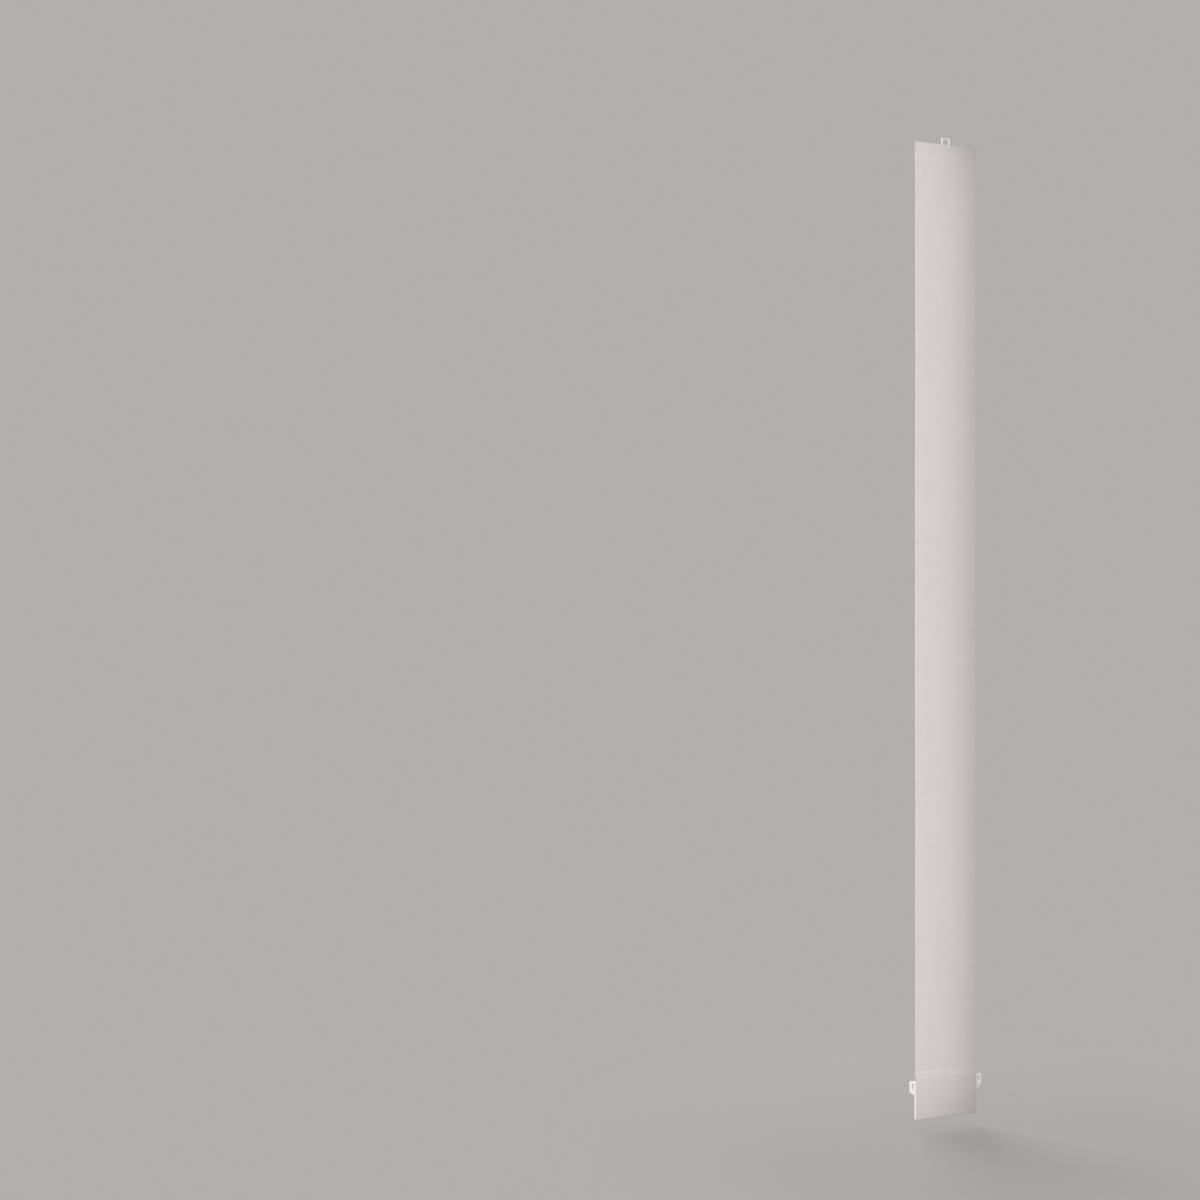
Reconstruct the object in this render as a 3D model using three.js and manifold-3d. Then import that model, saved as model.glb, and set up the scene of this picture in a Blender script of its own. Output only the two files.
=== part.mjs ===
// Vertical blind vane: a flat fabric slat hung by a plastic hanger in its top pocket and
// pulled straight by a plastic weight in its bottom pocket.
//
// Frame, in millimetres: +X along the vane's width, +Z up, and the front on the -Y side.
// The vane hangs by the underside of the hanger loop's top bar: its mid width is the origin.
// The sheet hangs in the plane y = 0, so each pocket bulges evenly to both sides of it.

import * as THREE from 'three';
import { mergeVertices } from 'three/addons/utils/BufferGeometryUtils.js';
import Module from 'manifold-3d';

const wasm = await Module();
wasm.setup();

// Fabric slat
const vaneWidth = 89;
const vaneDrop = 1230; // outside of the top fold to outside of the bottom fold
const fabricThickness = 0.5;
const topPocketDepth = 19.5; // outside of the fold to the middle of the weld
const bottomPocketDepth = 60;
const weldHeight = 2.4;
const weldInset = 0.6; // the weld stops short of each side edge
const flapTail = 3.5; // free edge of each flap past its weld
const flapGap = 0.25; // air between a flap's tail and the sheet
const fitGap = 0.2; // clearance between the fabric and the piece in its pocket

// Hanger
const hangerThickness = 1.4;
const hangerLength = 83;
const hangerBarHeight = 9;
const hangerCornerRadius = 3;
const loopWidth = 12.5;
const loopRise = 8.5; // top of the loop above the top fold
const loopBar = 2.1; // width of the loop's legs and of its top bar
const loopCornerRadius = 1.8;
const openingHeight = 7.3;
const openingCornerRadius = 0.9;
const notchSideGap = 0.4; // punched slot in the fold, beside each leg of the loop
const notchDepth = 3.8;
const notchCornerRadius = 2;

// Bottom weight
const weightHeight = 49;
const weightTopThickness = 1.6;
const weightBellyThickness = 2;
const weightFootThickness = 1.8;
const weightProud = 0.7; // how far the plate's side edge stands out of the pocket
const earReach = 8.2; // ear's outer edge past the fabric's side edge
const earThickness = 1.5;
const earSideHeight = 13.2;
const earBevelDrop = 6.8;
const earCornerRadius = 0.9;
const earSlotWidth = 2.2;
const earSlotHeight = 6.5;
const earSlotBelowTop = 3.2;
const earSlotFromEnd = 4; // slot's middle to the ear's outer edge
const earRoot = 4; // how deep the ear runs into the plate

// Places worked out from those sizes
const foldTop = loopBar - loopRise;
const foldBottom = foldTop - vaneDrop;
const topPocketHalf = hangerThickness / 2 + fitGap + fabricThickness / 2;
const footPocketHalf = weightFootThickness / 2 + fitGap + fabricThickness / 2;
const headPocketHalf = weightTopThickness / 2 + fitGap + fabricThickness / 2;
const bellyPocketHalf = weightBellyThickness / 2 + fitGap + fabricThickness / 2;
const topFoldCentre = foldTop - fabricThickness / 2 - topPocketHalf;
const bottomFoldCentre = foldBottom + fabricThickness / 2 + footPocketHalf;
const barTop = topFoldCentre;
const barBottom = barTop - hangerBarHeight;
const weightFoot = foldBottom + fabricThickness + fitGap;
const weightTop = weightFoot + weightHeight;
const weightBelly = weightTop - earSideHeight - earBevelDrop; // thickest just below the ears
const topWeld = foldTop - topPocketDepth;
const bottomWeld = foldBottom + bottomPocketDepth;
const flapOffset = fabricThickness + flapGap;

const arcSteps = 14;
const curveSegments = 8;
const cutMargin = 5;

// A closed three.js geometry as a solid, and a solid as a three.js geometry.
function toSolid(geometry) {
  geometry.deleteAttribute('normal');
  geometry.deleteAttribute('uv');
  const merged = mergeVertices(geometry, 1e-5);
  return new wasm.Manifold(new wasm.Mesh({
    numProp: 3,
    vertProperties: new Float32Array(merged.attributes.position.array),
    triVerts: new Uint32Array(merged.index.array),
  }));
}

function toGeometry(solid) {
  const mesh = solid.getMesh();
  const geometry = new THREE.BufferGeometry();
  geometry.setAttribute('position', new THREE.BufferAttribute(mesh.vertProperties, 3));
  geometry.setIndex(new THREE.BufferAttribute(mesh.triVerts, 1));
  geometry.computeVertexNormals();
  return geometry;
}

// A section drawn in (y, z) and run along X, centred on x = 0.
function alongX(shape, length) {
  const geometry = new THREE.ExtrudeGeometry(shape, {
    depth: length, bevelEnabled: false, curveSegments,
  });
  geometry.translate(0, 0, -length / 2);
  geometry.applyMatrix4(new THREE.Matrix4().makeBasis(
    new THREE.Vector3(0, 1, 0), new THREE.Vector3(0, 0, 1), new THREE.Vector3(1, 0, 0)));
  return toSolid(geometry);
}

// An outline drawn in (x, z) and given a thickness along Y, centred on y = 0.
function plate(shape, thickness) {
  const geometry = new THREE.ExtrudeGeometry(shape, {
    depth: thickness, bevelEnabled: false, curveSegments,
  });
  geometry.translate(0, 0, -thickness / 2);
  geometry.rotateX(Math.PI / 2);
  return toSolid(geometry);
}

// A polygon whose corners may each be rounded: a corner is [x, z] or [x, z, radius].
function roundedOutline(corners) {
  const shape = new THREE.Shape();
  const count = corners.length;
  corners.forEach(([x, z, radius = 0], i) => {
    const corner = new THREE.Vector2(x, z);
    const before = new THREE.Vector2(...corners[(i + count - 1) % count]).sub(corner);
    const after = new THREE.Vector2(...corners[(i + 1) % count]).sub(corner);
    const halfAngle = Math.abs(before.angleTo(after)) / 2;
    const setback = radius / Math.tan(halfAngle);
    const start = corner.clone().add(before.setLength(setback));
    const end = corner.clone().add(after.setLength(setback));
    if (i === 0) shape.moveTo(start.x, start.y);
    else shape.lineTo(start.x, start.y);
    if (radius > 0) shape.quadraticCurveTo(x, z, end.x, end.y);
  });
  shape.closePath();
  return shape;
}

function roundedBox(halfWidth, low, high, lowRadius, highRadius) {
  return roundedOutline([
    [-halfWidth, low, lowRadius], [halfWidth, low, lowRadius],
    [halfWidth, high, highRadius], [-halfWidth, high, highRadius],
  ]);
}

// Half turn of the sheet's middle line round (0, centre), from one side to the other.
function foldArc(centre, radius, from, to) {
  return Array.from({ length: arcSteps + 1 }, (_, i) => {
    const angle = from + (to - from) * i / arcSteps;
    return [radius * Math.cos(angle), centre + radius * Math.sin(angle)];
  });
}

// A band of even thickness about a middle line, as one closed outline.
function band(line, thickness) {
  const points = line.map(([y, z]) => new THREE.Vector2(y, z));
  const sides = [[], []];
  points.forEach((point, i) => {
    const into = point.clone().sub(points[Math.max(i - 1, 0)]).normalize();
    const out = points[Math.min(i + 1, points.length - 1)].clone().sub(point).normalize();
    const tangent = into.clone().add(out).normalize();
    const bend = Math.max(into.lengthSq() ? tangent.dot(into) : 1, 0.5);
    const normal = new THREE.Vector2(-tangent.y, tangent.x).multiplyScalar(thickness / 2 / bend);
    sides[0].push(point.clone().add(normal));
    sides[1].unshift(point.clone().sub(normal));
  });
  return new THREE.Shape([...sides[0], ...sides[1]]);
}

// One strip of cloth: up the back flap, over the top fold, down the front, round the
// bottom fold and up the other back flap. Each flap is welded to the sheet it meets.
// Between a weld and the piece in its pocket the pulled cloth is straight.
function fabric() {
  const topWeldHigh = topWeld + weldHeight / 2;
  const topWeldLow = topWeld - weldHeight / 2;
  const bottomWeldHigh = bottomWeld + weldHeight / 2;
  const bottomWeldLow = bottomWeld - weldHeight / 2;
  const line = [
    [flapOffset, topWeldLow - flapTail],
    [flapOffset, topWeldHigh],
    [topPocketHalf, barBottom - fitGap],
    ...foldArc(topFoldCentre, topPocketHalf, 0, Math.PI),
    [-topPocketHalf, barBottom - fitGap],
    [0, topWeldHigh],
    [0, bottomWeldLow],
    [-headPocketHalf, weightTop + fitGap],
    [-bellyPocketHalf, weightBelly],
    ...foldArc(bottomFoldCentre, footPocketHalf, Math.PI, 2 * Math.PI),
    [bellyPocketHalf, weightBelly],
    [headPocketHalf, weightTop + fitGap],
    [flapOffset, bottomWeldLow],
    [flapOffset, bottomWeldHigh + flapTail],
  ];
  const strip = alongX(band(line, fabricThickness), vaneWidth);
  const weldAt = (height) => alongX(new THREE.Shape([
    new THREE.Vector2(0, height - weldHeight / 2),
    new THREE.Vector2(flapOffset, height - weldHeight / 2),
    new THREE.Vector2(flapOffset, height + weldHeight / 2),
    new THREE.Vector2(0, height + weldHeight / 2),
  ]), vaneWidth - 2 * weldInset);
  const notch = plate(
    roundedBox(loopWidth / 2 + notchSideGap, foldTop - notchDepth, foldTop + notchDepth,
      notchCornerRadius, notchCornerRadius),
    2 * (topPocketHalf + cutMargin));
  return strip.add(weldAt(topWeld)).add(weldAt(bottomWeld)).subtract(notch);
}

// Flat bar that fills the top pocket, with a square loop standing through the fold.
function hanger() {
  const bar = plate(
    roundedBox(hangerLength / 2, barBottom, barTop, hangerCornerRadius, hangerCornerRadius),
    hangerThickness);
  const loop = plate(
    roundedBox(loopWidth / 2, barTop - hangerBarHeight / 2, loopBar, 0, loopCornerRadius),
    hangerThickness);
  const opening = plate(
    roundedBox(loopWidth / 2 - loopBar, -openingHeight, 0, openingCornerRadius, openingCornerRadius),
    hangerThickness + 2 * cutMargin);
  return bar.add(loop).subtract(opening);
}

// Slab that thins towards its top edge and its rounded foot. A slotted ear stands out of
// each top corner.
function weight() {
  const footRadius = weightFootThickness / 2;
  const slab = alongX(new THREE.Shape([
    ...foldArc(weightFoot + footRadius, footRadius, Math.PI, 2 * Math.PI),
    [weightBellyThickness / 2, weightBelly],
    [weightTopThickness / 2, weightTop],
    [-weightTopThickness / 2, weightTop],
    [-weightBellyThickness / 2, weightBelly],
  ].map(([y, z]) => new THREE.Vector2(y, z))), vaneWidth + 2 * weightProud);
  const ear = (side) => {
    const inner = vaneWidth / 2 - earRoot;
    const edge = vaneWidth / 2;
    const end = edge + earReach;
    const sideLow = weightTop - earSideHeight;
    const corners = [
      [inner, sideLow - earBevelDrop], [edge, sideLow - earBevelDrop],
      [end, sideLow, earCornerRadius], [end, weightTop, earCornerRadius], [inner, weightTop],
    ];
    const mirrored = corners.map(([x, z, radius]) => [side * x, z, radius]);
    const tab = plate(roundedOutline(side > 0 ? mirrored : mirrored.reverse()), earThickness);
    const slotTop = weightTop - earSlotBelowTop;
    const slot = plate(
      roundedBox(earSlotWidth / 2, slotTop - earSlotHeight, slotTop, earSlotWidth / 2, earSlotWidth / 2),
      earThickness + 2 * cutMargin).translate([side * (end - earSlotFromEnd), 0, 0]);
    return tab.subtract(slot);
  };
  return slab.add(ear(-1)).add(ear(1));
}

const clothFinish = new THREE.MeshStandardMaterial({ color: 0xd3cdcd, roughness: 0.9, metalness: 0 });
const plasticFinish = new THREE.MeshStandardMaterial({ color: 0xf0eeeb, roughness: 0.4, metalness: 0 });

const vane = new THREE.Group();
for (const [name, solid, finish] of [
  ['fabric_slat', fabric(), clothFinish],
  ['hanger', hanger(), plasticFinish],
  ['bottom_weight', weight(), plasticFinish],
]) {
  const mesh = new THREE.Mesh(toGeometry(solid), finish);
  mesh.name = name;
  vane.add(mesh);
}

export default vane;
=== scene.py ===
# %% [markdown]
# # One vane of a vertical blind
#
# A vane is three pieces. A long strip of cloth is folded back at both ends and welded into pockets.
# A plastic hanger lies in the top pocket, and its square loop stands up through a notch in the fold.
# A plastic weight lies in the bottom pocket and keeps the cloth straight, with an ear past each edge.
# The CAD model gives their sizes. This lesson dresses them: woven cloth, rounded mouldings, soft light.
# Everything is in metres: X runs along the width, Z runs up, and minus Y is the front.

import bpy
import numpy as np
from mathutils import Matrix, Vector


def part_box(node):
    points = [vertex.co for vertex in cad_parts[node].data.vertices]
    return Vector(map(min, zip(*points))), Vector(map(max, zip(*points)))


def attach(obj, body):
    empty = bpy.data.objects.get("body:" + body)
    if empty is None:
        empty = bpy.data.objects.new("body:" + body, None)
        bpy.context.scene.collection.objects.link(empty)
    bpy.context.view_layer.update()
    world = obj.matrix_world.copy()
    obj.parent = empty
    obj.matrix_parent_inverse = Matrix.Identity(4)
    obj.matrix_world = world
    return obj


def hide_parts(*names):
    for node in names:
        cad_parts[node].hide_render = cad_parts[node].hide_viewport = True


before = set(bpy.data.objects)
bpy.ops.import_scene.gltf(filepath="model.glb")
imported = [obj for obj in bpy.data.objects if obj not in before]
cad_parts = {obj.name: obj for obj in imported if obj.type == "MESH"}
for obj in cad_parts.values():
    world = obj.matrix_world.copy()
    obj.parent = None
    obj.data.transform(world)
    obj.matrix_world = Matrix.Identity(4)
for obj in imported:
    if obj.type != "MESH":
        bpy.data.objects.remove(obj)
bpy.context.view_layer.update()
MM = 0.001
slat_low, slat_high = (np.array(corner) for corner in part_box("fabric_slat"))
hanger_low, hanger_high = (np.array(corner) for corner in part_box("hanger"))
weight_low, weight_high = (np.array(corner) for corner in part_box("bottom_weight"))
print("slat, width and drop in mm:", ((slat_high - slat_low)[[0, 2]] / MM).round(1))

# %% [markdown]
# ## The camera
#
# The picture was taken with a level camera, because upright edges stay upright in it.
# The vane is right of the middle and turned, so its left edge is nearer and looks a little taller.
# The camera could be placed by hand until the picture fits. It is worked out here instead, from how far
# the left edge is in front of the lens, how far right of its axis, and how far the top fold is above it.

# %% The camera
LENS = 50
SENSOR = 36
VIEW_TURN = np.radians(21.4)
EDGE_AHEAD = 2.0937
EDGE_ASIDE = 0.3962
FOLD_ABOVE = 0.5763

ahead = np.array([np.sin(VIEW_TURN), np.cos(VIEW_TURN), 0])
aside = np.array([np.cos(VIEW_TURN), -np.sin(VIEW_TURN), 0])
eye = np.array([slat_low[0], 0, slat_high[2] - FOLD_ABOVE]) - EDGE_AHEAD * ahead - EDGE_ASIDE * aside

camera = bpy.data.objects.new("camera", bpy.data.cameras.new("camera"))
camera.data.lens = LENS
camera.data.sensor_width = SENSOR
camera.location = eye
camera.rotation_euler = Vector(ahead).to_track_quat("-Z", "Y").to_euler()
bpy.context.collection.objects.link(camera)
bpy.context.scene.camera = camera
print("eye at", eye.round(3))

# %% [markdown]
# ## Shader maths as plain sums
#
# A material is a network of small nodes. Wiring them one by one hides what is being worked out.
# The class below wraps a node's output, so that `1 - mask * 0.5` adds the two Math nodes by itself.
# Everything that isn't a sum comes from one method, which takes a node's type, settings and sockets.

# %% A number that changes over a surface
class Value:
    """A number that changes over the surface: a node's output that Python's own signs work on."""

    def __init__(self, finish, socket):
        self.finish = finish
        self.socket = socket

    def __add__(self, other):
        return self.finish.maths("ADD", self, other)

    def __sub__(self, other):
        return self.finish.maths("SUBTRACT", self, other)

    def __rsub__(self, other):
        return self.finish.maths("SUBTRACT", other, self)

    def __mul__(self, other):
        return self.finish.maths("MULTIPLY", self, other)

    def __truediv__(self, other):
        return self.finish.maths("DIVIDE", self, other)

    def __rtruediv__(self, other):
        return self.finish.maths("DIVIDE", other, self)

    __radd__ = __add__
    __rmul__ = __mul__


# %% A material in the making
class Finish:
    """A material or a world being made: its nodes, and the ways to add more."""

    def __init__(self, holder):
        holder.use_nodes = True
        self.holder = holder
        self.tree = holder.node_tree
        self.tree.nodes.clear()

    def node(self, kind, settings, sockets):
        """Adds a node, sets its settings, then gives each named socket its number, colour or link."""
        made = self.tree.nodes.new("ShaderNode" + kind)
        for setting, choice in settings.items():
            setattr(made, setting, choice)
        for place, given in sockets.items():
            if isinstance(given, Value):
                given = given.socket
            if isinstance(given, bpy.types.NodeSocket):
                self.tree.links.new(given, made.inputs[place])
            else:
                made.inputs[place].default_value = given
        return made

    def maths(self, operation, *items):
        """One Math node that works on numbers and values."""
        made = self.node("Math", {"operation": operation}, dict(enumerate(items)))
        return Value(self, made.outputs[0])

    def step(self, value, start, end):
        """Runs smoothly from 0 at start to 1 at end."""
        sockets = {"Value": value, "From Min": start, "From Max": end}
        made = self.node("MapRange", {"interpolation_type": "SMOOTHSTEP"}, sockets)
        return Value(self, made.outputs[0])

    def axes(self, vector):
        """The three numbers of a vector."""
        return [Value(self, out) for out in self.node("SeparateXYZ", {}, {0: vector}).outputs]

    def noise(self, across, along, depth, detail=2):
        """Cloudy noise from 0 to 1 whose lumps are about one unit long in each of the three numbers."""
        place = self.node("CombineXYZ", {}, {0: across, 1: along, 2: depth}).outputs[0]
        sockets = {"Vector": place, "Scale": 1, "Detail": detail}
        return Value(self, self.node("TexNoise", {}, sockets).outputs[0])

    def mix(self, factor, first, second):
        """A colour between two others."""
        sockets = {0: factor, 6: first, 7: second}
        return self.node("Mix", {"data_type": "RGBA"}, sockets).outputs[2]

    def surface(self, sockets, shader="BsdfPrincipled", output="OutputMaterial"):
        """Makes the shader, wires it to the output and returns what it was made for."""
        shader = self.node(shader, {}, sockets)
        self.node(output, {}, {"Surface": shader.outputs[0]})
        return self.holder


def paint(red, green, blue):
    """A colour read from a picture, 0 to 255, as the linear light that shaders use."""
    light = (np.array([red, green, blue]) / 255) ** 2.2
    return (*light.tolist(), 1)


# %% [markdown]
# ## The cloth's finish
#
# The cloth is a matt plain weave in a pale warm grey. Seen from a step away it shows faint level
# lines, which are thicker stretches of the crosswise yarn, and a slight cloudiness.
# A picture of cloth could be wrapped on, but a pattern that is worked out has no seams and any size.
# The pattern reads the flat cut's own map, so the yarns run round the folds as real yarns do.

# %% The cloth's yarns
WARP_PITCH = 0.55 * MM
WEFT_PITCH = 0.62 * MM
YARN_DIP = 0.45


def woven(finish, across, along):
    """Plain weave: squares where the crosswise yarn is on top take turns with squares of lengthwise yarn.

    Across a yarn its height is half a sine wave, and along it dips a little where it goes under the next.
    The height is used as relief, and in the tone as painted shade in the dips between yarns.
    """
    warp = across / WARP_PITCH
    weft = along / WEFT_PITCH
    warp_swell = finish.maths("SINE", finish.maths("FRACT", warp) * np.pi)
    weft_swell = finish.maths("SINE", finish.maths("FRACT", weft) * np.pi)
    square = finish.maths("FLOOR", warp) + finish.maths("FLOOR", weft)
    lengthwise = finish.maths("FRACT", square * 0.5) * 2
    weft_top = weft_swell * (warp_swell * YARN_DIP + (1 - YARN_DIP))
    warp_top = warp_swell * (weft_swell * YARN_DIP + (1 - YARN_DIP))
    return weft_top + lengthwise * (warp_top - weft_top)


print("yarns in a width of cloth:", round(float(slat_high[0] - slat_low[0]) / WARP_PITCH))

# %% The cloth's unevenness
SLUB = (22 * MM, 0.9 * MM)
BAND = (60 * MM, 2.5 * MM)
CLOUD = (14 * MM, 14 * MM)
THREAD = (0.8 * MM, 45 * MM)


def uneven(finish, across, along, size, layer, detail=2):
    """Noise on the flat cut whose lumps have a size across and along. Each layer is another sample."""
    return finish.noise(across / size[0], along / size[1], layer, detail)


print("slubs in mm:", np.round(np.array(SLUB) / MM, 1))

# %% The cloth's material
WELD_HEIGHT = 2.4 * MM
RIB_PITCH = 1.3 * MM
TOP_POCKET = 19.5 * MM
BOTTOM_POCKET = 60 * MM
CLOTH_SHADE = paint(200, 193, 194)
CLOTH_LIGHT = paint(220, 214, 215)
top_weld = slat_high[2] - TOP_POCKET
bottom_weld = slat_low[2] + BOTTOM_POCKET


def cloth_finish():
    """Woven cloth whose tone and relief are sums: each feature adds its share. The weave's share of the
    tone is painted shade, darker in the dips between yarns.

    A weld is a level line at its height, pressed smooth and ribbed by the welding tool's teeth.
    """
    finish = Finish(bpy.data.materials.new("woven_cloth"))
    cut = finish.node("UVMap", {"uv_map": "flat_cut"}, {}).outputs[0]
    across, along, _ = finish.axes(cut)
    height = finish.axes(finish.node("TexCoord", {}, {}).outputs["Object"])[2]

    weave = woven(finish, across, along)
    slubs = finish.step(uneven(finish, across, along, SLUB, 0.0), 0.52, 0.72)
    bands = uneven(finish, across, along, BAND, 3.0, detail=3)
    clouds = uneven(finish, across, along, CLOUD, 7.0)
    threads = uneven(finish, across, along, THREAD, 11.0)
    from_top = finish.maths("ABSOLUTE", height - float(top_weld))
    from_bottom = finish.maths("ABSOLUTE", height - float(bottom_weld))
    from_weld = finish.maths("MINIMUM", from_top, from_bottom)
    weld = 1 - finish.step(from_weld, 0.35 * WELD_HEIGHT, 0.65 * WELD_HEIGHT)
    ribs = finish.maths("SINE", across * (2 * np.pi / RIB_PITCH)) * weld

    # The weave's share of the tone is painted shade: the dips between yarns are darker.
    tone = 0.18 + slubs * 0.22 + bands * 0.3 + clouds * 0.22 + threads * 0.14 + weave * 0.12 + weld * 0.2
    relief = weave * (1 - weld * 0.75) + slubs * 0.5 + bands * 0.3 + ribs * 0.4
    bump = finish.node("Bump", {}, {"Strength": 0.5, "Distance": 0.12 * MM, "Height": relief})
    return finish.surface({
        "Base Color": finish.mix(tone, CLOTH_SHADE, CLOTH_LIGHT),
        "Roughness": 0.92 - weld * 0.3,
        "Normal": bump.outputs["Normal"],
        "Specular IOR Level": 0.3,
        "Sheen Weight": 0.06,
        "Sheen Roughness": 0.5,
    })


woven_cloth = cloth_finish()
print("cloth nodes:", len(woven_cloth.node_tree.nodes))

# %% [markdown]
# ## The line that the cloth follows
#
# Seen from its edge, the strip starts at the free end of the back flap, goes over the hanger, hangs down
# the front, goes round the weight and comes up to the other free end. Each weld presses it together.
# A cloth simulation could settle it, but this cloth is stiffened and pulled flat, so its line is known:
# half circles for the folds, and runs that are straight but for a little softness at their ends.

# %% The line's measures
CLOTH = 0.5 * MM
SLACK = 0.2 * MM
WEIGHT_HEAD = 1.6 * MM
WEIGHT_FOOT = 1.8 * MM
EAR_SIDE = 13.2 * MM
EAR_BEVEL = 6.8 * MM
FLAP_AWAY = 0.75 * MM
FLAP_TAIL = 3.5 * MM

top_half = hanger_high[1] + SLACK + CLOTH / 2
head_half = WEIGHT_HEAD / 2 + SLACK + CLOTH / 2
belly_half = weight_high[1] + SLACK + CLOTH / 2
foot_half = WEIGHT_FOOT / 2 + SLACK + CLOTH / 2
top_fold = slat_high[2] - CLOTH / 2 - top_half
bottom_fold = slat_low[2] + CLOTH / 2 + foot_half
bar_bottom = hanger_low[2] - SLACK
weight_top = weight_high[2] + SLACK
weight_belly = weight_high[2] - EAR_SIDE - EAR_BEVEL
print("half circles at the folds in mm:", round(top_half / MM, 2), "and", round(foot_half / MM, 2))

# %% The line's pieces
SOFTNESS = 0.5
FOLD_POINTS = 25


def run(start, end, count):
    """Points from one depth and height to another, nearly straight, with a little of an S at its ends.

    Height runs evenly. Depth is halfway between an even run and one with level ends.
    """
    share = np.linspace(0, 1, count)
    eased = share + SOFTNESS * (share ** 2 * (3 - 2 * share) - share)
    depth = start[0] + (end[0] - start[0]) * eased
    return np.column_stack([depth, start[1] + (end[1] - start[1]) * share])


def fold(centre, half, start, end):
    """Points on an arc in depth and height, by its angles."""
    angle = np.linspace(start, end, FOLD_POINTS)
    return np.column_stack([half * np.cos(angle), centre + half * np.sin(angle)])


# %% The whole line
def cloth_line():
    """The middle of the cloth's thickness as depth and height, from one free end to the other.

    Each run gives its two ends and its count of points. A run that starts where the last one ended
    leaves that point out.
    """
    half_weld = WELD_HEIGHT / 2
    top_tail = top_weld - half_weld - FLAP_TAIL
    bottom_tail = bottom_weld + half_weld + FLAP_TAIL
    return np.concatenate([
        run((FLAP_AWAY, top_tail), (FLAP_AWAY, top_weld + half_weld), 24),
        run((FLAP_AWAY, top_weld + half_weld), (top_half, bar_bottom), 12)[1:],
        fold(top_fold, top_half, 0, np.pi),
        run((-top_half, bar_bottom), (0, top_weld + half_weld), 12),
        run((0, top_weld + half_weld), (0, top_weld - half_weld), 14)[1:],
        run((0, top_weld - half_weld), (0, bottom_weld + half_weld), 220)[1:],
        run((0, bottom_weld + half_weld), (0, bottom_weld - half_weld), 14)[1:],
        run((0, bottom_weld - half_weld), (-head_half, weight_top), 14)[1:],
        run((-head_half, weight_top), (-belly_half, weight_belly), 18)[1:],
        run((-belly_half, weight_belly), (-foot_half, bottom_fold), 20)[1:],
        fold(bottom_fold, foot_half, np.pi, 2 * np.pi)[1:],
        run((foot_half, bottom_fold), (belly_half, weight_belly), 20)[1:],
        run((belly_half, weight_belly), (head_half, weight_top), 18)[1:],
        run((head_half, weight_top), (FLAP_AWAY, bottom_weld - half_weld), 14)[1:],
        run((FLAP_AWAY, bottom_weld - half_weld), (FLAP_AWAY, bottom_tail), 24)[1:],
    ])


line = cloth_line()
line_run = np.concatenate([[0], np.cumsum(np.hypot(*np.diff(line, axis=0).T))])
cut_width = float(slat_high[0] - slat_low[0])

# %% [markdown]
# ## The flat cut, with its notch
#
# The loop comes out through a notch that is punched in the flat strip before it is folded.
# A Boolean modifier could cut it, but it leaves thin slivers. Here the grid is made with a hole:
# a block of squares is left out, and rings of squares lead from the hole's outline to the block's edge.
# Every surface of this lesson is such a grid: rows and columns of points that numpy works out in one go.

# %% Helpers for grids
HAIR = 0.01 * MM


def grid_faces(rows, columns, closed_rows=False, closed_columns=False):
    """Square faces of a grid of points numbered row by row.

    A closed direction joins its end to its start.
    """
    row = np.arange(rows if closed_rows else rows - 1)[:, None]
    column = np.arange(columns if closed_columns else columns - 1)[None, :]
    row_next = (row + 1) % rows
    column_next = (column + 1) % columns
    corners = [
        row * columns + column,
        row * columns + column_next,
        row_next * columns + column_next,
        row_next * columns + column,
    ]
    return np.stack(corners, axis=-1).reshape(-1, 4)


def joined(points, faces):
    """Gives points that share a place one number, so that grids which meet become one surface."""
    places = np.round(points / HAIR)
    _, first, number = np.unique(places, axis=0, return_index=True, return_inverse=True)
    return points[first], number.reshape(-1)[faces]


# %% The notch's outline
NOTCH_HALF_WIDTH = 6.65 * MM
NOTCH_FOOT = -10.2 * MM
NOTCH_CORNER = 2.0 * MM
BLOCK_MARGIN = 3.0 * MM

fold_run = float(line_run[np.argmax(line[:, 1])])
notch_half_run = top_half * np.pi / 2 + (top_fold - NOTCH_FOOT)
notch_half = np.array([NOTCH_HALF_WIDTH, notch_half_run])
block_half = notch_half + BLOCK_MARGIN


def hole_point(points, half_sizes, corner):
    """The nearest point on a rounded rectangle around the origin, for points outside it."""
    core = np.clip(points, -(half_sizes - corner), half_sizes - corner)
    away = points - core
    return core + corner * away / np.linalg.norm(away, axis=1, keepdims=True)


print("notch in the flat strip in mm:", (2 * notch_half / MM).round(1))

# %% The flat cut
SIDE_COLUMNS = 17
BLOCK_LINES = 31
RINGS = 7
ROW_CLEARANCE = 0.1 * MM


def cut_lines():
    """Where columns and rows run: evenly in the notch's block, and at the line's own points elsewhere."""
    edge = cut_width / 2
    columns = np.unique(np.concatenate([
        np.linspace(-edge, -block_half[0], SIDE_COLUMNS),
        np.linspace(-block_half[0], block_half[0], BLOCK_LINES),
        np.linspace(block_half[0], edge, SIDE_COLUMNS),
    ]))
    block_rows = np.linspace(fold_run - block_half[1], fold_run + block_half[1], BLOCK_LINES)
    outside = np.abs(line_run - fold_run) > block_half[1] + ROW_CLEARANCE
    return columns, block_rows, np.unique(np.concatenate([line_run[outside], block_rows]))


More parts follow.
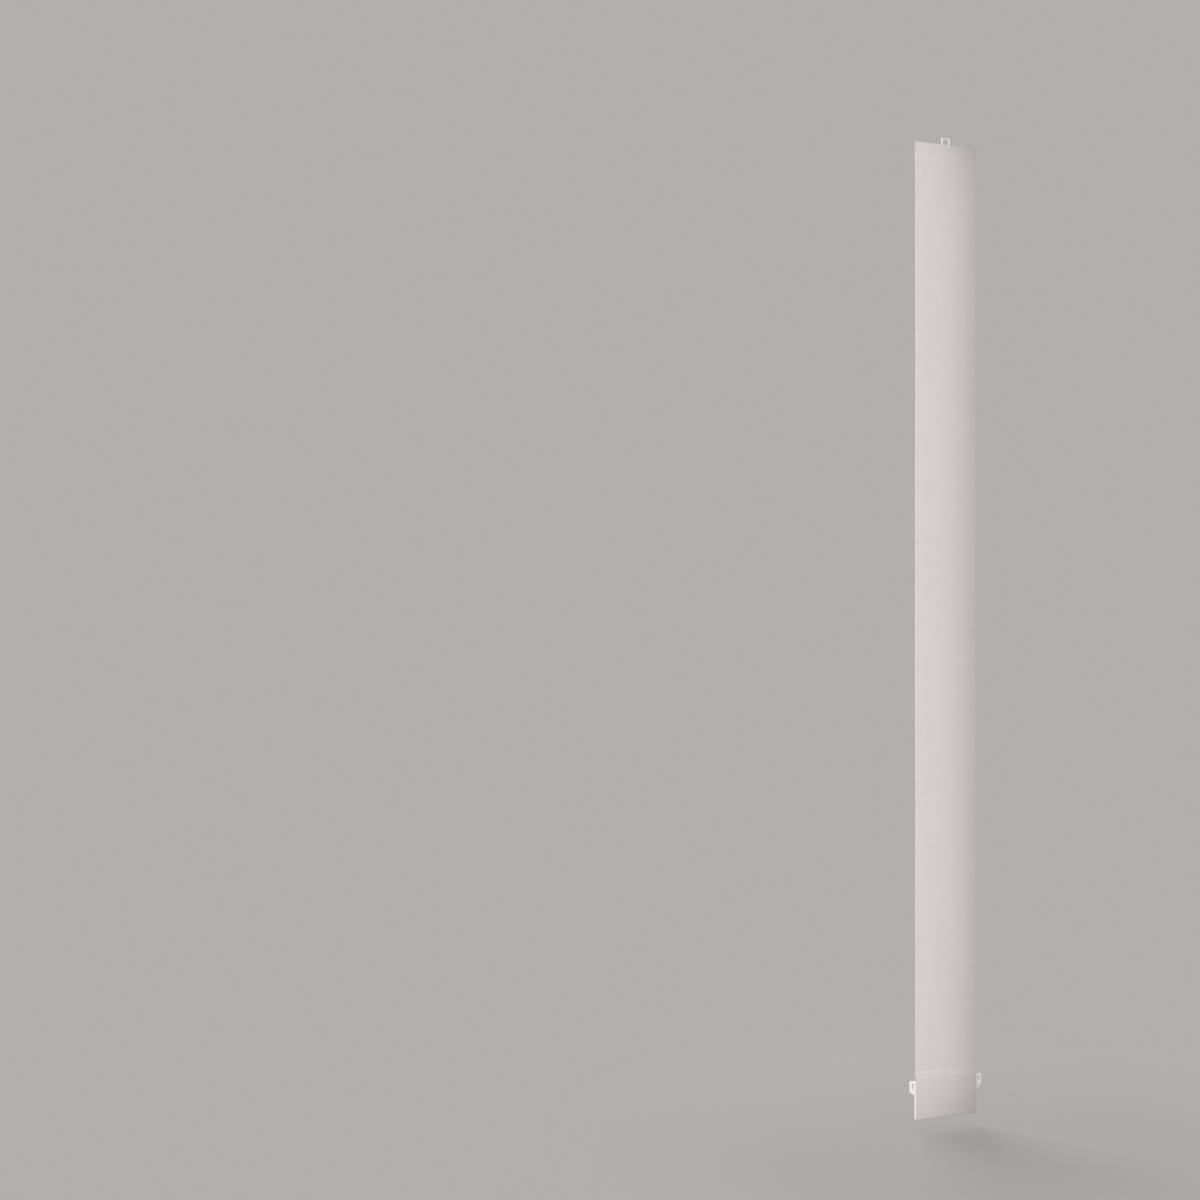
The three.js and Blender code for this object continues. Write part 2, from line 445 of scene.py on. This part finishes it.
def flat_cut():
    """The strip as flat points, across and along, with its faces: a grid of squares and the notch's rings.

    The block's edge is walked round once. Each ring is a share of the way from the notch to that edge.
    """
    columns, block_rows, rows = cut_lines()
    across, along = np.meshgrid(columns, rows)
    grid = np.column_stack([across.ravel(), along.ravel()])
    squares = grid_faces(len(rows), len(columns))
    middle = grid[squares].mean(axis=1) - [0, fold_run]
    squares = squares[~(np.abs(middle) < block_half).all(axis=1)]

    inner_columns = columns[np.abs(columns) <= block_half[0] + HAIR]
    low = np.full(len(inner_columns), block_rows[0])
    side = np.full(len(block_rows), block_half[0])
    edge = np.concatenate([
        np.column_stack([inner_columns, low])[:-1],
        np.column_stack([side, block_rows])[:-1],
        np.column_stack([inner_columns, low + 2 * block_half[1]])[:0:-1],
        np.column_stack([-side, block_rows])[:0:-1],
    ])
    centred = edge - [0, fold_run]
    hole = hole_point(centred, notch_half, NOTCH_CORNER)
    share = np.linspace(0, 1, RINGS)[:, None, None]
    rings = (hole + (centred - hole) * share).reshape(-1, 2) + [0, fold_run]
    ring_faces = grid_faces(RINGS, len(edge), closed_columns=True)[:, ::-1]
    return joined(np.concatenate([grid, rings]), np.concatenate([squares, ring_faces + len(grid)]))


cut_points, cut_faces = flat_cut()
print("flat cut:", len(cut_points), "points,", len(cut_faces), "faces")

# %% [markdown]
# ## Folding the cut
#
# A simulation or a bending modifier could fold the strip, but neither would meet the CAD sizes exactly.
# Each flat point is carried to its place instead: its run along the strip gives depth and height on
# the line, and its place across stays. The weld presses both layers together. Between the welds the strip
# gets a very slight wave, as cloth under its own weight has, so that light doesn't lie on it like paint on
# glass. Near the weight it leans forward by a third of a millimetre, so that the pocket has no hard slope.

# %% Folding
PRESS_FRONT = 0.10 * MM
PRESS_BACK = 0.28 * MM
WAVE = 0.35 * MM
WAVE_RISE = (10 * MM, 150 * MM)
LEAN = 0.35 * MM
LEAN_RUN = 60 * MM


def smooth(value, start, end):
    """Runs from 0 to 1 between start and end with level ends."""
    share = np.clip((value - start) / (end - start), 0, 1)
    return share ** 2 * (3 - 2 * share)


def folded(points):
    """Flat points carried onto the line, pressed at the welds, waved between them, leaning to the weight.

    The wave is a long sine plus a shorter one of 0.6 its height, which slants across the strip.
    The lean is greatest at the bottom weld. It is gone a little above it, and where the weight begins.
    """
    across, along = points.T
    depth = np.interp(along, line_run, line[:, 0])
    height = np.interp(along, line_run, line[:, 1])
    from_weld = np.minimum(np.abs(height - top_weld), np.abs(height - bottom_weld))
    pressed = 1 - smooth(from_weld, 0.4 * WELD_HEIGHT, 0.8 * WELD_HEIGHT)
    flap = depth > FLAP_AWAY / 2
    depth = depth + np.where(flap, -PRESS_BACK, PRESS_FRONT) * pressed
    free = smooth(top_weld - height, *WAVE_RISE) * smooth(height - bottom_weld, *WAVE_RISE)
    swell = np.sin(height * 9.7 + 0.8) + 0.6 * np.sin(height * 23.0 + across * 30)
    to_weight = smooth(height, weight_top, bottom_weld)
    lean = to_weight * (1 - smooth(height, bottom_weld, bottom_weld + LEAN_RUN))
    depth = depth + WAVE * free * swell - LEAN * lean
    return np.column_stack([across, depth, height])


folded_points = folded(cut_points)
print("front to back of the folded line in mm:", (np.ptp(folded_points[:, 1]) / MM).round(2))

# %% Helpers for objects
def new_piece(name, points, faces, finish):
    """Puts points and faces into a mesh, shades it smooth and links it as an object at the origin."""
    mesh = bpy.data.meshes.new(name)
    mesh.from_pydata(np.asarray(points).tolist(), [], [list(face) for face in faces])
    mesh.shade_smooth()
    mesh.materials.append(finish)
    piece = bpy.data.objects.new(name, mesh)
    bpy.context.collection.objects.link(piece)
    return piece


def make_final(piece, sharp_degrees):
    """Replaces a piece's mesh by what its modifiers make of it, with edges past an angle shaded sharp."""
    dressed = piece.evaluated_get(bpy.context.evaluated_depsgraph_get())
    finished = bpy.data.meshes.new_from_object(dressed)
    piece.modifiers.clear()
    piece.data = finished
    finished.set_sharp_from_angle(angle=np.radians(sharp_degrees))


# %% The folded slat
SHARP_DEGREES = 50

slat = new_piece("folded_slat", folded_points, cut_faces, woven_cloth)
thickness = slat.modifiers.new("cloth thickness", "SOLIDIFY")
thickness.thickness = CLOTH
thickness.offset = 0
thickness.use_even_offset = True
cut_map = slat.data.uv_layers.new(name="flat_cut")
corner_points = np.empty(len(slat.data.loops), dtype=int)
slat.data.loops.foreach_get("vertex_index", corner_points)
cut_map.data.foreach_set("uv", cut_points[corner_points].ravel())
make_final(slat, SHARP_DEGREES)
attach(slat, "root")
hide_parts("fabric_slat")
print("folded slat:", len(slat.data.polygons), "faces")

# %% [markdown]
# ## White plastic
#
# Hanger and weight are moulded in white plastic with a satin skin. One flat white would do from afar.
# A mould leaves a fine, uneven skin, though, so the gloss isn't the same everywhere, and that shows close
# up. The white is a little warm. Both pieces share the recipe, each with its own two shades.

# %% The plastic's material
FLOW_MARK = 9 * MM
SKIN_GRAIN = 0.5 * MM


def plastic_finish(name, dull, bright):
    """Satin white moulding: slightly cloudy colour, uneven gloss and a fine skin in bump."""
    finish = Finish(bpy.data.materials.new(name))
    x, y, z = finish.axes(finish.node("TexCoord", {}, {}).outputs["Object"])
    clouds = finish.noise(x / FLOW_MARK, y / FLOW_MARK, z / FLOW_MARK)
    skin = finish.noise(x / SKIN_GRAIN, y / SKIN_GRAIN, z / SKIN_GRAIN, detail=1)
    bump = finish.node("Bump", {}, {"Strength": 0.25, "Distance": 0.02 * MM, "Height": skin})
    return finish.surface({
        "Base Color": finish.mix(clouds, dull, bright),
        "Roughness": 0.36 + clouds * 0.16,
        "Normal": bump.outputs["Normal"],
        "Specular IOR Level": 0.45,
    })


hanger_plastic = plastic_finish("hanger_plastic", paint(219, 216, 212), paint(229, 226, 222))
weight_plastic = plastic_finish("weight_plastic", paint(231, 229, 227), paint(240, 238, 236))
print("plastic nodes:", len(hanger_plastic.node_tree.nodes), "in each of two")

# %% [markdown]
# ## Rounded plates
#
# The loop, the hanger's bar and the ears are flat plates with softly rounded rims.
# A Bevel modifier could round the rims of a plain plate. Working the rim out is as short and gives
# even faces: an outline, a quarter circle that leads from the face to the rim, and the same for a hole.

# %% A plate's outline
def outline(corners, radii, count=9):
    """A closed outline through corners in order, each turned on an arc of its radius.

    The arc's centre is where the two sides, moved inwards by the radius, cross. Its points run over the
    angle that the outline turns by at that corner. Returns the points and their outward directions.
    """
    corners = np.array(corners, dtype=float)
    before = corners - np.roll(corners, 1, axis=0)
    after = np.roll(before, -1, axis=0)
    before /= np.linalg.norm(before, axis=1, keepdims=True)
    after /= np.linalg.norm(after, axis=1, keepdims=True)
    crossed = before[:, 0] * after[:, 1] - before[:, 1] * after[:, 0]
    turn = np.arctan2(crossed, (before * after).sum(axis=1))[:, None]
    radii = np.broadcast_to(radii, len(corners))[:, None]
    start = corners - before * radii * np.tan(turn / 2)
    out_first = np.column_stack([before[:, 1], -before[:, 0]])
    centre = start - out_first * radii
    first_angle = np.arctan2(out_first[:, 1], out_first[:, 0])[:, None]
    angle = first_angle + turn * np.linspace(0, 1, count)
    out = np.stack([np.cos(angle), np.sin(angle)], axis=-1)
    points = centre[:, None] + radii[:, None] * out
    return points.reshape(-1, 2), out.reshape(-1, 2)


def box_corners(left, right, bottom, top):
    """A rectangle's corners, anticlockwise as seen from the front."""
    return [(left, bottom), (right, bottom), (right, top), (left, top)]


# %% A plate's rim
def rim_profile(half, rounding, steps):
    """A rim's section from the front face to the back: how far in from the outline, and the depth.

    It is a quarter circle out from the front face, straight across, and a quarter circle to the back.
    """
    turn = np.linspace(0, np.pi / 2, steps)
    inset = rounding * (1 - np.sin(turn))
    depth = half - rounding * (1 - np.cos(turn))
    return np.concatenate([inset, inset[::-1]]), np.concatenate([-depth, depth[::-1]])


def rim_points(edge, half, rounding, steps=5, side=1):
    """The rim's grid: each row is the outline moved in and set at one depth of the profile."""
    points, out = edge
    inset, depth = rim_profile(half, rounding, steps)
    flat = points[None] - side * inset[:, None, None] * out[None]
    depth = np.broadcast_to(depth[:, None], flat.shape[:2])
    return np.stack([flat[..., 0], depth, flat[..., 1]], axis=-1)


# %% The two kinds of plate
def plate(edge, half, rounding, steps=5):
    """A plate without a hole: the rim's grid, closed by one face at the front and one at the back."""
    grid = rim_points(edge, half, rounding, steps)
    rows, columns = grid.shape[:2]
    faces = grid_faces(rows, columns, closed_columns=True)[:, ::-1].tolist()
    front = list(range(columns))
    back = list(range((rows - 1) * columns, rows * columns))[::-1]
    return grid.reshape(-1, 3), faces + [front, back]


def ring_plate(edge, hole, half, rounding):
    """A plate with a hole: outer rim and hole's rim are one grid that closes on itself both ways."""
    outer = rim_points(edge, half, rounding)
    inner = rim_points(hole, half, rounding, side=-1)[::-1]
    grid = np.concatenate([outer, inner])
    faces = grid_faces(*grid.shape[:2], closed_rows=True, closed_columns=True)[:, ::-1].tolist()
    return grid.reshape(-1, 3), faces


# %% Shells put together
def mirrored(shell, to_place):
    """A shell whose points are mirrored, with its faces turned over so that they still point outwards."""
    points, faces = shell
    return to_place(points), [face[::-1] for face in faces]


def together(*shells):
    """Several closed shells as one list of points and one of faces."""
    faces = []
    offset = 0
    for points, shell_faces in shells:
        faces += [[number + offset for number in face] for face in shell_faces]
        offset += len(points)
    return np.concatenate([points for points, _ in shells]), faces


def steady_normals(piece):
    """Lets large flat faces decide the shading at their rims, so that rounded edges don't tint them."""
    piece.modifiers.new("steady normals", "WEIGHTED_NORMAL").keep_sharp = True


# %% [markdown]
# ## The hanger
#
# One moulding: a flat bar that fills the top pocket's width, and a square loop that stands up from it.
# One outline could hold both. Two plates that overlap are simpler, and the overlap is inside the plastic.
# The loop is a hair thinner than the bar, so that no two of their faces lie in one plane.
# The vane hangs by the underside of the loop's top bar, which is the height 0 of this whole model.

# %% The hanger
HANGER_ROUNDING = 0.45 * MM
BAR_CORNER = 3.0 * MM
LOOP_HALF_WIDTH = 6.25 * MM
LOOP_CORNER = 1.8 * MM
LOOP_THINNER = 0.02 * MM
OPENING_HALF_WIDTH = 4.15 * MM
OPENING_FOOT = -7.3 * MM
OPENING_CORNER = 0.9 * MM

hanger_half = hanger_high[1]
loop_foot = (top_fold + hanger_low[2]) / 2
bar_box = box_corners(hanger_low[0], hanger_high[0], hanger_low[2], top_fold)
loop_box = box_corners(-LOOP_HALF_WIDTH, LOOP_HALF_WIDTH, loop_foot, hanger_high[2])
opening_box = box_corners(-OPENING_HALF_WIDTH, OPENING_HALF_WIDTH, OPENING_FOOT, 0)
loop_edge = outline(loop_box, LOOP_CORNER)
opening_edge = outline(opening_box, OPENING_CORNER)
bar = plate(outline(bar_box, BAR_CORNER), hanger_half, HANGER_ROUNDING)
loop = ring_plate(loop_edge, opening_edge, hanger_half - LOOP_THINNER, HANGER_ROUNDING)
hanger = new_piece("looped_hanger", *together(bar, loop), hanger_plastic)
steady_normals(hanger)
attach(hanger, "root")
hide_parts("hanger")
print("hanger:", len(hanger.data.polygons), "faces")

# %% [markdown]
# ## The weight
#
# A heavy flat slab, a little wider than the cloth, so that its ends show as a fine white line beside it.
# It thins towards its head and towards its round foot, so that the pocket closes over it without a step.
# A box with a bevel would have one thickness. The slab is a plate too, but one that lies across: its
# outline is the section in depth and height, and its thickness is the vane's width.

# %% The weight's slab
WEIGHT_PROUD = 0.7 * MM
SLAB_ROUNDING = 0.35 * MM
HEAD_RADIUS = 0.45 * MM
BELLY_RADIUS = 40 * MM
NEARLY_FULL = 0.98


def slab():
    """The section, a closed outline nearly round at its foot, carried across and rounded at both ends.

    Its head's radius is larger than the ends' rounding, so that no corner shrinks to a point.
    """
    foot = WEIGHT_FOOT / 2
    side = [(foot, weight_low[2]), (weight_high[1], weight_belly), (WEIGHT_HEAD / 2, weight_high[2])]
    corners = side + [(-depth, height) for depth, height in side[::-1]]
    radii = [foot * NEARLY_FULL, BELLY_RADIUS, HEAD_RADIUS]
    section = outline(corners, radii + radii[::-1], count=11)
    reach = slat_high[0] + WEIGHT_PROUD
    return mirrored(plate(section, reach, SLAB_ROUNDING, steps=6), lambda points: points[:, [1, 0, 2]])


# %% [markdown]
# ## The weight's ears
#
# At each top corner an ear stands out past the cloth, square above and slanted below, with an upright slot.
# The slot could be cut with a Boolean modifier. A plate with a hole has it from the start, with even rims.
# Each ear begins inside the slab, so that slab and ears look like the one moulding that they are.

# %% The weight with its ears
EAR_HALF = 0.75 * MM
EAR_ROOT = 40.5 * MM
EAR_EDGE = 44.5 * MM
EAR_CORNER = 0.9 * MM
EAR_ROUNDING = 0.35 * MM
SLOT_ACROSS = 48.7 * MM
SLOT_WIDTH = 2.2 * MM
SLOT_HEIGHT = 6.5 * MM
SLOT_BELOW = 3.2 * MM


def right_ear():
    """A plate from inside the slab out to the ear's end, with a slot that is nearly round at its ends."""
    end = weight_high[0]
    top = weight_high[2]
    slope = EAR_BEVEL / (end - EAR_EDGE)
    root_foot = top - EAR_SIDE - slope * (end - EAR_ROOT)
    corners = [(EAR_ROOT, root_foot), (end, top - EAR_SIDE), (end, top), (EAR_ROOT, top)]
    left, right = SLOT_ACROSS - SLOT_WIDTH / 2, SLOT_ACROSS + SLOT_WIDTH / 2
    slot_box = box_corners(left, right, top - SLOT_BELOW - SLOT_HEIGHT, top - SLOT_BELOW)
    slot_edge = outline(slot_box, SLOT_WIDTH / 2 * NEARLY_FULL)
    return ring_plate(outline(corners, EAR_CORNER), slot_edge, EAR_HALF, EAR_ROUNDING)


left_ear = mirrored(right_ear(), lambda points: points * [-1, 1, 1])
weight = new_piece("eared_weight", *together(slab(), right_ear(), left_ear), weight_plastic)
steady_normals(weight)
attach(weight, "root")
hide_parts("bottom_weight")
print("weight:", len(weight.data.polygons), "faces")

# %% [markdown]
# ## Floor and surroundings
#
# A pale floor just under the vane catches its shadow. Further out it turns, for the camera only,
# into the same even stone grey as the world, so there is no horizon line behind the vane.
# A curved backdrop would do that too, but it would shade the vane from one side.
# A white page would swallow the white plastic, so the grey is just dark enough to show it.

# %% The floor's finish
PAGE = paint(176, 174, 170)
FLOOR_PAINT = paint(209, 207, 203)
FADE_START = 0.2
FADE_END = 0.5


def seen_directly(finish):
    """1 for what the camera sees, straight or in a gloss or through glass, and 0 for light on its way."""
    path = finish.node("LightPath", {}, {})
    kinds = ("Is Camera Ray", "Is Glossy Ray", "Is Transmission Ray")
    rays = [Value(finish, path.outputs[kind]) for kind in kinds]
    return finish.maths("MINIMUM", rays[0] + rays[1] + rays[2], 1)


def floor_finish():
    """A pale matt floor that becomes the plain backdrop colour away from the vane."""
    finish = Finish(bpy.data.materials.new("pale_floor"))
    x, y, _ = finish.axes(finish.node("TexCoord", {}, {}).outputs["Object"])
    away = finish.maths("SQRT", x * x + y * y)
    far = finish.step(away, FADE_START, FADE_END) * seen_directly(finish)
    matt = finish.node("BsdfDiffuse", {}, {"Color": FLOOR_PAINT}).outputs[0]
    page = finish.node("Emission", {}, {"Color": PAGE}).outputs[0]
    return finish.surface({0: far, 1: matt, 2: page}, "MixShader")


# %% The floor
FLOOR_GAP = 14 * MM
FLOOR_REACH = 12

floor_height = slat_low[2] - FLOOR_GAP
floor_corners = np.array(box_corners(-FLOOR_REACH, FLOOR_REACH, -FLOOR_REACH, FLOOR_REACH), dtype=float)
floor_points = np.column_stack([floor_corners, np.full(4, floor_height)])
floor = new_piece("floor", floor_points, [[0, 1, 2, 3]], floor_finish())
print("floor at a height of", round(floor_height, 3))

# %% [markdown]
# ## Light
#
# The cloth is palest at its left edge and darkens towards the right edge and the foot, as it does
# beside a large soft light that ends near those two sides. A distant lamp can't do that on a flat sheet.
# So a wide panel stands close in front, and its own right and lower edges make both changes of tone.
# The right corners are the darkest places, so the panel is two strips and the right one is shorter.
# A tall panel at the left lights the ends that face that way, and a small one lights the right ear,
# which is past the near light's edge. These are linked to the pieces that they light, because on the
# floor they would leave bright patches. A large panel behind lights the back and the floor.

# %% A panel of light
def panel(name, place, facing, width, height, power):
    """A soft upright panel of light at a place, facing a level direction."""
    lamp = bpy.data.lights.new(name, "AREA")
    lamp.shape = "RECTANGLE"
    lamp.size = width
    lamp.size_y = height
    lamp.energy = power
    holder = bpy.data.objects.new(name, lamp)
    holder.location = place
    holder.rotation_euler = Vector(facing).to_track_quat("-Z", "Y").to_euler()
    holder.visible_camera = False
    bpy.context.collection.objects.link(holder)
    return holder


def lit_alone(lamps, collection_name, pieces):
    """Links lamps to some pieces, so that they light nothing else."""
    receivers = bpy.data.collections.new(collection_name)
    for piece in pieces:
        receivers.objects.link(piece)
    for lamp in lamps:
        lamp.light_linking.receiver_collection = receivers
    print(collection_name, "has lamps:", len(lamps))


# %% The near light
NEAR = 43 * MM
NEAR_WATTS_PER_AREA = 1.6
SEAM = 11 * MM


def near_strip(left, right, foot, top):
    """An upright strip of the near light: its sides, and its ends above the slat's foot and top."""
    low = slat_low[2] + foot
    high = slat_high[2] + top
    watts = NEAR_WATTS_PER_AREA * (right - left) * (high - low)
    place = ((left + right) / 2, -NEAR, (low + high) / 2)
    return panel("near_strip", place, (0, 1, 0), right - left, high - low, watts)


near_strips = [
    near_strip(left=-400 * MM, right=SEAM, foot=-13 * MM, top=218 * MM),
    near_strip(left=SEAM, right=36 * MM, foot=30 * MM, top=-16 * MM),
]
print("near strips' widths in mm:", [round(lamp.data.size / MM) for lamp in near_strips])

# %% The other panels
slat_middle = float(slat_low[2] + slat_high[2]) / 2
ear_middle = weight_high[2] - EAR_SIDE / 2
left_place = (-0.6, 0, slat_middle)
ear_place = (110 * MM, -80 * MM, ear_middle)
back_place = (0, 1.6, slat_middle + 0.5)
left_panel = panel("left_panel", left_place, (1, 0, 0), width=0.5, height=1.8, power=7.2)
ear_panel = panel("ear_panel", ear_place, (-1, 1, 0), width=0.06, height=0.06, power=0.014)
panel("back_panel", back_place, (0, -1, 0), width=1.8, height=1.8, power=14)
lit_alone([*near_strips, left_panel], "vane_only", (slat, hanger, weight))
lit_alone([ear_panel], "weight_only", (weight,))

# %% [markdown]
# ## The world
#
# An even world fills what the panels leave dark. A round picture of some place could light the vane too,
# but its colours would show on the white plastic. The camera sees the page colour instead of the fill, so
# that both can be set by themselves. Levels are plain: a colour renders about as it is written.

# %% The world
FILL = 0.53


def even_world():
    """Plain fill for the object, and the page colour for what the camera sees."""
    finish = Finish(bpy.data.worlds.new("even_light"))
    page = finish.node("Background", {}, {"Color": PAGE, "Strength": 1.0}).outputs[0]
    fill = finish.node("Background", {}, {"Color": (1, 1, 1, 1), "Strength": FILL}).outputs[0]
    return finish.surface({0: seen_directly(finish), 1: fill, 2: page}, "MixShader", "OutputWorld")


bpy.context.scene.world = even_world()
bpy.context.scene.view_settings.view_transform = "Standard"
print("world nodes:", len(bpy.context.scene.world.node_tree.nodes))
